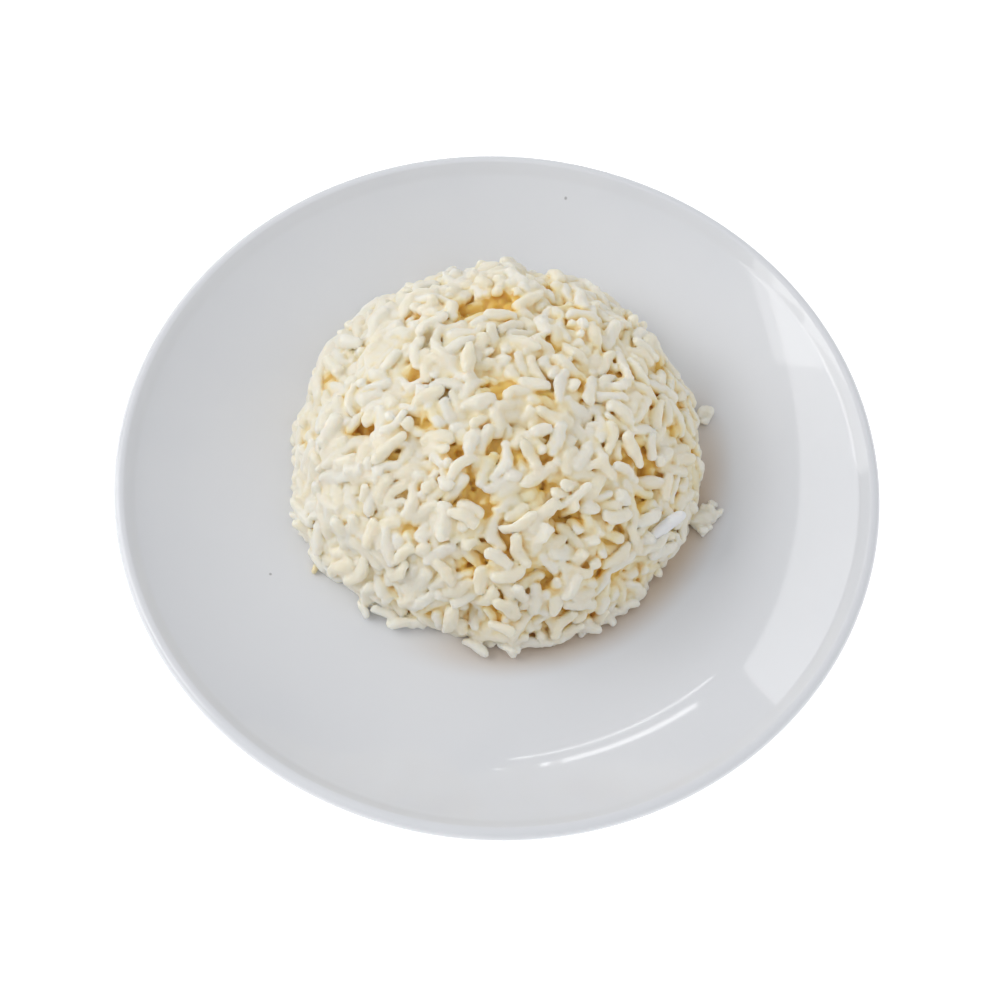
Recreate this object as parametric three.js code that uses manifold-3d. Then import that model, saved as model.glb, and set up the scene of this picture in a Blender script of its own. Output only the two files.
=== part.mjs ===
// A plate of rice pilaf: one portion of buttered medium-grain rice, turned out of a bowl as a dome
// on to a round white porcelain coupe plate.
// Millimetres, +Z up. The origin is on the table, under the plate's centre; -Y is the diner's side.
import * as THREE from "three";
import { ConvexHull } from "three/addons/math/ConvexHull.js";
import { mergeVertices } from "three/addons/utils/BufferGeometryUtils.js";
import Module from "manifold-3d";

const wasm = await Module();
wasm.setup();

const PLATE = {
  radius: 100,
  segments: 64,
  floor: 5, // height of the eating surface in the middle
  flatRadius: 44, // the eating surface is flat out to here, then it curves up
  lipRadius: 96.6, // where the curve meets the rounded lip
  rise: 16.6, // from the flat floor to the lip's inner edge
  wall: 4.2, // thickness of the ware
  lipRound: 1.9, // radius of the rounded edge
  lipDrop: 0.35, // the edge's centre lies this much under the curve's end
  lipTurns: [-60, -10, 35, 80, 125], // where the edge has a corner, in degrees up from the horizon
  widest: -10, // the one of those at the full radius
  underside: [63, 73, 82, 90], // where the underside has a corner
  eating: [57, 68, 77, 85, 92], // where the curve of the eating surface has one
  footInner: 48,
  footOuter: 53,
  footBevel: 1.3,
  recess: 2.2, // height of the ware's underside inside the foot ring
};

const DOME = {
  centre: new THREE.Vector2(-0.7, 12.4),
  radius: 56.6, // to the backs of the outermost grains
  height: 43.2,
  tuck: 2.8, // the foot of the dome draws in by this much
  tuckHeight: 8, // below this height
  lobes: [
    // angle round the dome in degrees, how far the outline swells or sinks there, angular width
    { angle: -143, swell: 3.2, width: 15 },
    { angle: -103, swell: -1.6, width: 9 },
    { angle: -84, swell: 1.1, width: 10 },
    { angle: 96, swell: 1.2, width: 24 },
  ],
  evenness: 1.1, // a flat dome has more of its surface near the top
};

const BED = {
  gap: 0.3, // clearance between the rice and the plate
  depth: 12, // how far under the plate's floor the cut goes
};

const GRAIN = {
  length: [7.6, 10.8],
  width: [2.7, 3.2],
  flatness: 0.84, // thickness over width
  sides: 5,
  outline: [
    // distance from the grain's axis as a share of its width, place along it as a share of its length
    [0, -0.5],
    [0.44, -0.29],
    [0.48, 0.3],
    [0, 0.5],
  ],
};

// The packed grains of the surface, as bumps. Each pass fills what gaps are left with shorter ones,
// which are the ends of grains that point inwards.
const BUMPS = {
  passes: [
    { length: 9.4, rows: 3, tries: 9000 },
    { length: 5.8, rows: 2, tries: 8000 },
  ],
  apart: 3.0, // least distance between the middle lines of two bumps
  halfWidth: 0.84, // from a bump's middle line to the edges of its flat back
  crown: 0.5, // its middle over its ends
  sit: 0.75, // how much higher or lower one bump may lie than the next
  tilt: 0.6, // how much one of its ends may lift
  lowest: 1.3, // height over the plate below which none starts
};

const GAPS = {
  fromBump: 1.25, // least distance of a gap's deepest point from a bump's back
  apart: 2.7, // and from the next gap
  depth: [1.7, 2.6],
  pitShare: 0.06, // share of them that are open pits
  pitDepth: 4.4,
  tries: 16000,
};

// The whole grains that stand proud of the dome, spread evenly by the golden angle.
const PROUD = {
  count: 48,
  depth: 0.1, // mean depth of a grain's middle under the dome's surface
  sit: 0.5, // how much higher or lower one may lie than the next
  slope: 28, // degrees that one may lean out of the surface
  stray: 0.1, // radians that a grain strays from its even place
  lowest: 0.06, // share of the dome's height below which none is set
};

// The foot of the dome, in and out by half a grain.
const FOOT = {
  points: 92,
  wave: 1.1,
  depth: 0.6, // mean distance inside the dome's outline
};

// Grains on the plate against the foot of the dome: angle round it, how far out a grain's middle
// lies from the dome's outline, and its heading, both angles in degrees. The first six make the two
// small clumps at the right.
const FRINGE = [
  { angle: 16, out: 1.4, heading: 70 },
  { angle: 18, out: 2.2, heading: 15 },
  { angle: -12, out: 1.0, heading: 60 },
  { angle: -15, out: 2.6, heading: 100 },
  { angle: -12, out: 3.4, heading: 35 },
  { angle: -17, out: 3.0, heading: 150 },
  { angle: -45, out: 0.1, heading: 80 },
  { angle: -54, out: 0.2, heading: 105 },
  { angle: -62, out: 0.1, heading: 75 },
  { angle: -71, out: 0.2, heading: 110 },
  { angle: -79, out: 0.4, heading: 80 },
  { angle: -87, out: 0.3, heading: 50 },
  { angle: -111, out: 0.3, heading: 105 },
  { angle: -117, out: 1.0, heading: 70 },
  { angle: -149, out: 0.4, heading: 100 },
  { angle: 172, out: 0.3, heading: 85 },
  { angle: 131, out: 0.4, heading: 65 },
  { angle: 78, out: 0.5, heading: 110 },
  { angle: 52, out: 0.3, heading: 80 },
];

const COLOURS = {
  porcelain: { color: 0xf0f1f5, roughness: 0.12, metalness: 0 },
  rice: { color: 0xeee6cc, roughness: 0.45, metalness: 0 },
};

// A repeatable stream of numbers from 0 to 1.
function seededRandom(seed) {
  let state = seed;
  return () => {
    state = (state + 0x6d2b79f5) | 0;
    let t = Math.imul(state ^ (state >>> 15), 1 | state);
    t = (t + Math.imul(t ^ (t >>> 7), 61 | t)) ^ t;
    return ((t ^ (t >>> 14)) >>> 0) / 4294967296;
  };
}

const random = seededRandom(1171);
const between = ([low, high]) => low + (high - low) * random();
const either = (size) => size * (2 * random() - 1);

// Height of the plate's eating surface at a distance r from its centre.
function eatingSurface(r) {
  const share = Math.max(0, r - PLATE.flatRadius) / (PLATE.lipRadius - PLATE.flatRadius);
  return PLATE.floor + PLATE.rise * share ** 2;
}

const inwards = (radii) => [...radii].reverse();

// The plate's section: the foot ring and underside outwards, round the lip, and back over the top.
function plateSection() {
  const { footInner, footOuter, footBevel, recess, lipRound, radius } = PLATE;
  const section = [
    [0, recess],
    [footInner - footBevel, recess],
    [footInner, 0],
    [footOuter, 0],
    [footOuter + footBevel, footBevel],
  ];
  for (const r of PLATE.underside) section.push([r, eatingSurface(r) - PLATE.wall]);
  const lipHeight = eatingSurface(PLATE.lipRadius) - PLATE.lipDrop;
  for (const degrees of PLATE.lipTurns) {
    const turn = THREE.MathUtils.degToRad(degrees);
    const out = degrees === PLATE.widest ? radius : radius - lipRound + lipRound * Math.cos(turn);
    section.push([out, lipHeight + lipRound * Math.sin(turn)]);
  }
  for (const r of inwards(PLATE.eating)) section.push([r, eatingSurface(r)]);
  section.push([PLATE.flatRadius, PLATE.floor], [0, PLATE.floor]);
  return section.map(([r, z]) => new THREE.Vector2(r, z));
}

// A lathe about Z; three.js turns its section about Y.
function turned(section, segments) {
  return welded(new THREE.LatheGeometry(section, segments)).rotateX(Math.PI / 2);
}

// The same surface with its shared corners merged, and without a lathe's empty faces at its axis.
function welded(geometry) {
  const bare = geometry.clone();
  bare.deleteAttribute("normal");
  bare.deleteAttribute("uv");
  const merged = mergeVertices(bare);
  const corners = merged.index.array;
  const faces = [];
  for (let i = 0; i < corners.length; i += 3) {
    const [a, b, c] = corners.slice(i, i + 3);
    if (a !== b && b !== c && c !== a) faces.push(a, b, c);
  }
  return merged.setIndex(faces);
}

// A welded closed surface as a solid that can be joined and cut.
function asSolid(surface) {
  return new wasm.Manifold(
    new wasm.Mesh({
      numProp: 3,
      vertProperties: surface.attributes.position.array,
      triVerts: new Uint32Array(surface.index.array),
    }),
  );
}

function asGeometry(solid) {
  const mesh = solid.getMesh();
  const positions = new Float32Array(mesh.numVert * 3);
  for (let i = 0; i < mesh.numVert; i++) {
    const start = i * mesh.numProp;
    positions.set(mesh.vertProperties.subarray(start, start + 3), i * 3);
  }
  return new THREE.BufferGeometry()
    .setAttribute("position", new THREE.BufferAttribute(positions, 3))
    .setIndex(new THREE.BufferAttribute(mesh.triVerts, 1));
}

// How far the dome's outline swells at an angle round it, in radians.
function swell(angle) {
  const degrees = THREE.MathUtils.radToDeg(angle);
  return DOME.lobes.reduce((sum, lobe) => {
    const apart = THREE.MathUtils.euclideanModulo(degrees - lobe.angle + 180, 360) - 180;
    return sum + lobe.swell * Math.exp(-((apart / lobe.width) ** 2));
  }, 0);
}

// The point of the dome's crest surface, moved out by lift, that a unit vector of the upper half
// sphere stands for.
function domePoint(unit, lift = 0) {
  const height = DOME.height * unit.z;
  const low = Math.max(0, 1 - height / DOME.tuckHeight);
  const angle = Math.atan2(unit.y, unit.x);
  const reach = DOME.radius - DOME.tuck * low ** 2 + swell(angle) * (1 - unit.z);
  const normal = domeNormal(unit);
  return new THREE.Vector3(reach * unit.x, reach * unit.y, height).addScaledVector(normal, lift);
}

function domeNormal(unit) {
  return new THREE.Vector3(
    unit.x / DOME.radius,
    unit.y / DOME.radius,
    unit.z / DOME.height,
  ).normalize();
}

// The unit vector at an angle round the dome and a height.
function unitAt(turn, z) {
  const flat = Math.sqrt(1 - z * z);
  return new THREE.Vector3(flat * Math.cos(turn), flat * Math.sin(turn), z);
}

// The height of a unit vector, for shares from 0 to 1 that spread evenly over the dome's real surface.
function evenHeight(share, lowest = 0) {
  return 1 - share ** DOME.evenness * (1 - lowest);
}

// A direction in the surface at unit, turned by a heading in radians.
function tangent(unit, heading) {
  const across = new THREE.Vector3(-unit.y, unit.x, 0).normalize();
  return across.applyAxisAngle(domeNormal(unit), heading);
}

// The unit vector that stands for a point near the dome's surface, never below its foot.
function unitOf(point) {
  const flat = new THREE.Vector3(point.x / DOME.radius, point.y / DOME.radius, 0);
  return flat.setZ(Math.max(0, point.z) / DOME.height).normalize();
}

const isClear = (place, others, distance) =>
  others.every((other) => other.distanceToSquared(place) > distance * distance);

// The bumps that the packed grains make, as the corners of their flat backs.
function bumps() {
  const corners = [];
  const middles = [];
  for (const { length, rows, tries } of BUMPS.passes) {
    for (let attempt = 0; attempt < tries; attempt++) {
      const unit = unitAt(random() * 2 * Math.PI, evenHeight(random()));
      const along = tangent(unit, random() * Math.PI);
      const side = new THREE.Vector3().crossVectors(domeNormal(unit), along);
      const middle = domePoint(unit);
      const shares = Array.from({ length: rows }, (_, i) => (rows > 1 ? i / (rows - 1) - 0.5 : 0));
      const backLength = length - GRAIN.width[0];
      const row = shares.map((share) => middle.clone().addScaledVector(along, share * backLength));
      if (row.some((place) => place.z < BUMPS.lowest)) continue;
      if (!row.every((place) => isClear(place, middles, BUMPS.apart))) continue;
      const sit = either(BUMPS.sit);
      const tilt = either(BUMPS.tilt);
      row.forEach((place, i) => {
        const crown = BUMPS.crown * (1 - 4 * shares[i] ** 2);
        const lift = sit + 2 * tilt * shares[i] + crown - BUMPS.crown;
        for (const edge of [-BUMPS.halfWidth, BUMPS.halfWidth]) {
          corners.push({ unit: unitOf(place.clone().addScaledVector(side, edge)), lift });
        }
      });
      middles.push(...row);
    }
  }
  return corners;
}

// The gaps between those bumps, a few of them open pits.
function gaps(taken) {
  const backs = taken.map(({ unit }) => domePoint(unit));
  const places = [];
  const corners = [];
  for (let attempt = 0; attempt < GAPS.tries; attempt++) {
    const unit = unitAt(random() * 2 * Math.PI, evenHeight(random()));
    const place = domePoint(unit);
    if (place.z < BUMPS.lowest) continue;
    if (!isClear(place, backs, GAPS.fromBump) || !isClear(place, places, GAPS.apart)) continue;
    const pit = random() < GAPS.pitShare;
    places.push(place);
    corners.push({ unit, lift: pit ? -GAPS.pitDepth : -between(GAPS.depth) });
  }
  return corners;
}

// The corners of the foot of the dome.
function footRing() {
  return Array.from({ length: FOOT.points }, (_, i) => ({
    unit: unitAt((2 * Math.PI * i) / FOOT.points, 0),
    lift: either(FOOT.wave) - FOOT.depth,
  }));
}

// The dome of packed grains as a solid. Its corners are joined by the hull of their unit vectors,
// which lie on a half sphere, and are then set at their real places.
function packedDome() {
  const tops = bumps();
  const corners = [...tops, ...gaps(tops), ...footRing()];
  const order = new Map(corners.map((corner, i) => [corner.unit, i]));
  const hull = new ConvexHull().setFromPoints(corners.map((corner) => corner.unit));
  const index = [];
  for (const face of hull.faces) {
    let edge = face.edge;
    do {
      index.push(order.get(edge.head().point));
      edge = edge.next;
    } while (edge !== face.edge);
  }
  const positions = corners.flatMap(({ unit, lift }) => {
    const point = domePoint(unit, lift);
    return [point.x, point.y, Math.max(0, point.z)];
  });
  const surface = new THREE.BufferGeometry()
    .setAttribute("position", new THREE.Float32BufferAttribute(positions, 3))
    .setIndex(index);
  return asSolid(surface.translate(DOME.centre.x, DOME.centre.y, PLATE.floor));
}

// One whole grain along X: a few-sided bar with drawn-in ends, a little fatter at one of them.
function grainSolid(length, width) {
  const section = GRAIN.outline.map(([r, along]) => new THREE.Vector2(r * width, along * length));
  return welded(new THREE.LatheGeometry(section, GRAIN.sides))
    .rotateZ(-Math.PI / 2)
    .scale(1, 1, GRAIN.flatness);
}

// Sets a grain with its middle at place, its length along one direction and its flat side up another.
function setGrain(place, along, up) {
  const across = new THREE.Vector3().crossVectors(up, along).normalize();
  const rise = new THREE.Vector3().crossVectors(along, across);
  const basis = new THREE.Matrix4().makeBasis(along, across, rise).setPosition(place);
  return asSolid(grainSolid(between(GRAIN.length), between(GRAIN.width)).applyMatrix4(basis));
}

// The grains that stand proud. One that would dip into the plate lies level instead.
function proudGrains() {
  const goldenAngle = Math.PI * (3 - Math.sqrt(5));
  return Array.from({ length: PROUD.count }, (_, i) => {
    const height = evenHeight((i + 0.5) / PROUD.count, PROUD.lowest);
    const unit = unitAt(i * goldenAngle + either(PROUD.stray), height);
    const normal = domeNormal(unit);
    const place = domePoint(unit, either(PROUD.sit) - PROUD.depth);
    place.add(new THREE.Vector3(DOME.centre.x, DOME.centre.y, PLATE.floor));
    const leaning = tangent(unit, random() * Math.PI);
    const lean = THREE.MathUtils.degToRad(either(PROUD.slope));
    leaning.applyAxisAngle(new THREE.Vector3().crossVectors(leaning, normal).normalize(), lean);
    const reach = (Math.abs(leaning.z) * GRAIN.length[1] + GRAIN.width[1]) / 2;
    const bed = eatingSurface(Math.hypot(place.x, place.y)) + BED.gap;
    const along = place.z - reach > bed ? leaning : tangent(unit, 0);
    return setGrain(place, along, normal);
  });
}

// The grains on the plate, against the foot of the dome.
function fringeGrains() {
  return FRINGE.map(({ angle, out, heading }) => {
    const turn = THREE.MathUtils.degToRad(angle);
    const unit = new THREE.Vector3(Math.cos(turn), Math.sin(turn), 0);
    const place = domePoint(unit, out);
    place.add(new THREE.Vector3(DOME.centre.x, DOME.centre.y, 0));
    const rest = eatingSurface(Math.hypot(place.x, place.y)) + BED.gap;
    place.z = rest + (GRAIN.width[1] * GRAIN.flatness) / 2;
    const up = new THREE.Vector3(0, 0, 1);
    const along = new THREE.Vector3(1, 0, 0).applyAxisAngle(up, turn + THREE.MathUtils.degToRad(heading));
    return setGrain(place, along, up);
  });
}

// Everything under the eating surface, raised by the gap, which the rice is cut clear of.
function bedding() {
  const bottom = PLATE.floor - BED.depth;
  const section = [
    [0, bottom],
    [PLATE.radius, bottom],
  ];
  for (const r of [PLATE.radius, ...inwards(PLATE.eating), PLATE.flatRadius, 0]) {
    section.push([r, eatingSurface(r) + BED.gap]);
  }
  const outline = section.map(([r, z]) => new THREE.Vector2(r, z));
  return asSolid(turned(outline, PLATE.segments / 2));
}

// The rice as one body: dome and grains joined, loose scraps dropped and sealed gaps filled.
function riceDome() {
  let rice = packedDome();
  for (const grain of [...proudGrains(), ...fringeGrains()]) rice = rice.add(grain);
  const bodies = rice.subtract(bedding()).decompose();
  return bodies.reduce((most, body) => (body.volume() > most.volume() ? body : most));
}

function named(name, geometry, finish) {
  const mesh = new THREE.Mesh(geometry, new THREE.MeshStandardMaterial(finish));
  mesh.name = name;
  return mesh;
}

const portion = new THREE.Group();
portion.add(named("plate", turned(plateSection(), PLATE.segments), COLOURS.porcelain));
portion.add(named("rice_mound", asGeometry(riceDome()), COLOURS.rice));

export default portion;
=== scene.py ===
"""A plate of rice pilaf, dressed for its picture.

A round white coupe plate is turned as one smooth body. The rice is packed grain by grain against
the wall of the bowl that moulded it, melted together over a core of butter-soaked rice, and stands
on the plate a little behind its middle. Lengths are in millimetres until a mesh is made.
"""

import logging
import math
from dataclasses import dataclass, field, replace
from enum import Enum
from typing import Any, Mapping, Sequence

import bpy
import numpy as np
from mathutils import Matrix, Vector


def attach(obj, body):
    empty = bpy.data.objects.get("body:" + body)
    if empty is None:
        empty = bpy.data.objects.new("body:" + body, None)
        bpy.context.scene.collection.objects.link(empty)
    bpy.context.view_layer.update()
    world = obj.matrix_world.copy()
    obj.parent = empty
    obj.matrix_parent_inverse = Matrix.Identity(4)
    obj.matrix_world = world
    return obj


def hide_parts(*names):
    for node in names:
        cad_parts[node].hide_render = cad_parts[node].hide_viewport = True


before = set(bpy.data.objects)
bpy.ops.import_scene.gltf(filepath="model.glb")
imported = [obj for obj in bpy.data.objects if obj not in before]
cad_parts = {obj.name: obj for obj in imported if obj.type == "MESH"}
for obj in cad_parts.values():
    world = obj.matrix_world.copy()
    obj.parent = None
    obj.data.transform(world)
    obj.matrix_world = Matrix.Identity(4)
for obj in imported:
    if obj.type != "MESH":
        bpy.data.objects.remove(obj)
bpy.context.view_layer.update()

MM = 0.001
DINER = (0.0, -0.448, 0.894)
BODY = "root"
TINY = 1e-9
NEAR = 1e-6
Array = np.ndarray
Colour = tuple[float, float, float]

logging.basicConfig(level=logging.INFO, format="%(message)s")
log = logging.getLogger("pilaf")


# Shader building


class Value:
    """One output of a shader that takes part in Python arithmetic."""

    def __init__(self, shader: "Shader", socket: bpy.types.NodeSocket) -> None:
        """Wraps an output socket of a shader."""
        self.shader = shader
        self.socket = socket

    def _maths(self, operation: str, first: Any, second: Any) -> "Value":
        """The result of a Math node with this operation and these two numbers or Values."""
        made = self.shader.node("ShaderNodeMath", {"operation": operation}, {0: first, 1: second})
        return Value(self.shader, made.outputs[0])

    def __add__(self, other: Any) -> "Value":
        """self + other."""
        return self._maths("ADD", self, other)

    __radd__ = __add__

    def __sub__(self, other: Any) -> "Value":
        """self - other."""
        return self._maths("SUBTRACT", self, other)

    def __rsub__(self, other: Any) -> "Value":
        """other - self."""
        return self._maths("SUBTRACT", other, self)

    def __mul__(self, other: Any) -> "Value":
        """self * other."""
        return self._maths("MULTIPLY", self, other)

    __rmul__ = __mul__

    def between(self, low: float, high: float) -> "Value":
        """Rises smoothly from 0 at low to 1 at high.

        Args:
            low: where the step starts.
            high: where the step ends; it may lie under low for a falling step.

        Returns:
            The eased share from 0 to 1.
        """
        made = self.shader.node(
            "ShaderNodeMapRange",
            {"interpolation_type": "SMOOTHSTEP"},
            {"Value": self, "From Min": low, "From Max": high},
        )
        return Value(self.shader, made.outputs[0])


class Shader:
    """The nodes of a material, or of the room's own light, in the making."""

    def __init__(self, owner: bpy.types.ID) -> None:
        """Starts with no nodes.

        Args:
            owner: the material or world that the nodes belong to.
        """
        owner.use_nodes = True
        self.owner = owner
        self.tree = owner.node_tree
        self.tree.nodes.clear()

    def node(self, kind: str, settings: Mapping[str, Any], sockets: Mapping[Any, Any]) -> bpy.types.Node:
        """Adds one node.

        Args:
            kind: the node's type.
            settings: its properties, which are set first.
            sockets: a number, colour, socket or Value for each of its inputs that is used.

        Returns:
            The node.
        """
        made = self.tree.nodes.new(kind)
        for name, setting in settings.items():
            setattr(made, name, setting)
        for name, given in sockets.items():
            given = given.socket if isinstance(given, Value) else given
            if isinstance(given, bpy.types.NodeSocket):
                self.tree.links.new(given, made.inputs[name])
            else:
                made.inputs[name].default_value = given
        return made

    def vector(self, operation: str, first: Any, second: Any) -> bpy.types.Node:
        """A Vector Math node with this operation and these two vectors."""
        return self.node("ShaderNodeVectorMath", {"operation": operation}, {0: first, 1: second})

    def place(self) -> bpy.types.NodeSocket:
        """The point on the object, in metres."""
        return self.node("ShaderNodeTexCoord", {}, {}).outputs["Object"]

    def mark(self, name: str) -> Value:
        """A number that the mesh carries at its points."""
        made = self.node("ShaderNodeAttribute", {"attribute_name": name}, {})
        return Value(self, made.outputs["Fac"])

    def noise(self, size: float, detail: float = 2.0, shift: float = 0.0) -> Value:
        """Soft seeded noise from 0 to 1.

        Args:
            size: the width of one patch in millimetres.
            detail: how many finer layers it has.
            shift: moves the pattern, so that two noises of one size differ.

        Returns:
            The noise.
        """
        moved = self.vector("ADD", self.place(), (shift, shift, shift)).outputs[0]
        sockets = {"Vector": moved, "Scale": 1 / (size * MM), "Detail": detail}
        made = self.node("ShaderNodeTexNoise", {"noise_dimensions": "3D"}, sockets)
        return Value(self, made.outputs["Fac"])

    def blend(self, share: Any, low: Any, high: Any) -> bpy.types.NodeSocket:
        """Mixes two colours.

        Args:
            share: how much of the second colour shows.
            low: the colour at share 0, as numbers or a socket.
            high: the colour at share 1.

        Returns:
            The mixed colour.
        """
        first, second = [(*c, 1.0) if isinstance(c, tuple) else c for c in (low, high)]
        settings = {"data_type": "RGBA", "clamp_factor": True}
        return self.node("ShaderNodeMix", settings, {0: share, 6: first, 7: second}).outputs[2]

    def bump(self, height: Value, depth: float, strength: float = 1.0) -> bpy.types.NodeSocket:
        """The normal of fine relief, whose height runs from 0 to 1 and is so many millimetres deep."""
        sockets = {"Height": height, "Distance": depth * MM, "Strength": strength}
        return self.node("ShaderNodeBump", {}, sockets).outputs["Normal"]

    def finish(self, sockets: Mapping[str, Any]) -> bpy.types.Material:
        """Ends the material in a Principled surface.

        Args:
            sockets: the values and links of the surface's inputs.

        Returns:
            The finished material.
        """
        surface = self.node("ShaderNodeBsdfPrincipled", {}, sockets)
        self.node("ShaderNodeOutputMaterial", {}, {"Surface": surface.outputs[0]})
        return self.owner


# Mesh building


def make_mesh(
    name: str, points: Array, faces: Sequence[Array], marks: Mapping[str, Array]
) -> bpy.types.Object:
    """Makes a smooth object from arrays.

    Args:
        name: the object's name.
        points: its corners in millimetres, one row each.
        faces: blocks of faces, each block with the same number of corners a face.
        marks: numbers that the corners carry, by name.

    Returns:
        The object, linked to the scene.
    """
    corners = np.concatenate([block.ravel() for block in faces]).astype(np.int32)
    counts = np.concatenate([np.full(len(block), block.shape[1]) for block in faces])
    starts = (np.cumsum(counts) - counts).astype(np.int32)
    mesh = bpy.data.meshes.new(name)
    mesh.vertices.add(len(points))
    mesh.vertices.foreach_set("co", (points * MM).astype(np.float32).ravel())
    mesh.loops.add(len(corners))
    mesh.loops.foreach_set("vertex_index", corners)
    mesh.polygons.add(len(starts))
    mesh.polygons.foreach_set("loop_start", starts)
    mesh.update(calc_edges=True)
    mesh.shade_smooth()
    for mark, numbers in marks.items():
        layer = mesh.attributes.new(name=mark, type="FLOAT", domain="POINT")
        layer.data.foreach_set("value", numbers.astype(np.float32).ravel())
    made = bpy.data.objects.new(name, mesh)
    bpy.context.scene.collection.objects.link(made)
    return made


def closed_tube_faces(rings: int, around: int) -> tuple[Array, Array]:
    """Faces of a tube of rings whose two ends close in one point each.

    Args:
        rings: how many rings the tube has.
        around: how many corners each ring has.

    Returns:
        Its quads and its triangles. The ends' points come after the rings.
    """
    ring = np.arange(rings - 1)[:, None] * around
    step = np.arange(around)[None, :]
    after = (step + 1) % around
    quads = np.stack([ring + step, ring + after, ring + around + after, ring + around + step], -1)
    first, last = rings * around, rings * around + 1
    step, after = step[0], after[0]
    end = (rings - 1) * around
    low = np.stack([np.full(around, first), after, step], -1)
    high = np.stack([np.full(around, last), end + step, end + after], -1)
    return quads.reshape(-1, 4), np.concatenate([low, high])


def thinned(points: Array, faces: Array, most: int) -> tuple[Array, Array]:
    """Merges the faces of a surface where it is plainest.

    Args:
        points: its corners.
        faces: its quads.
        most: about how many triangles may be left.

    Returns:
        The corners and triangles that are left.
    """
    made = make_mesh("full_surface", points, (faces,), {})
    thinner = made.modifiers.new("thinner", "DECIMATE")
    thinner.ratio = min(1.0, most / (2 * len(faces)))
    thinner.use_collapse_triangulate = True
    graph = bpy.context.evaluated_depsgraph_get()
    mesh = made.evaluated_get(graph).to_mesh()
    mesh.calc_loop_triangles()
    left = np.empty(len(mesh.vertices) * 3, np.float32)
    mesh.vertices.foreach_get("co", left)
    corners = np.empty(len(mesh.loop_triangles) * 3, np.int32)
    mesh.loop_triangles.foreach_get("vertices", corners)
    made.evaluated_get(graph).to_mesh_clear()
    whole = made.data
    bpy.data.objects.remove(made)
    bpy.data.meshes.remove(whole)
    return without_folds(left.reshape(-1, 3).astype(float) / MM, corners.reshape(-1, 3))


def without_folds(points: Array, faces: Array) -> tuple[Array, Array]:
    """Takes out triangles that lie folded on each other, and corners that none uses.

    Args:
        points: the surface's corners.
        faces: its triangles.

    Returns:
        The corners and triangles that are left.
    """
    which, many = np.unique(np.sort(faces, axis=1), axis=0, return_inverse=True, return_counts=True)[1:]
    single = faces[many[which.ravel()] == 1]
    log.info("took out %d folded triangles", len(faces) - len(single))
    used, renamed = np.unique(single, return_inverse=True)
    return points[used], renamed.reshape(-1, 3).astype(np.int32)


def dress(piece: bpy.types.Object, material: bpy.types.Material, node: str) -> None:
    """Finishes a piece, hangs it under the body and hides the solid that it stands in for.

    Args:
        piece: the object.
        material: its finish.
        node: the solid that the piece replaces.
    """
    piece.data.materials.append(material)
    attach(piece, BODY)
    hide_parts(node)
    piece.data.calc_loop_triangles()
    log.info("%s: %d triangles", piece.name, len(piece.data.loop_triangles))


def unit(vectors: Array) -> Array:
    """The same directions with length 1."""
    return vectors / np.maximum(np.linalg.norm(vectors, axis=-1, keepdims=True), TINY)


# The plate


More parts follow.
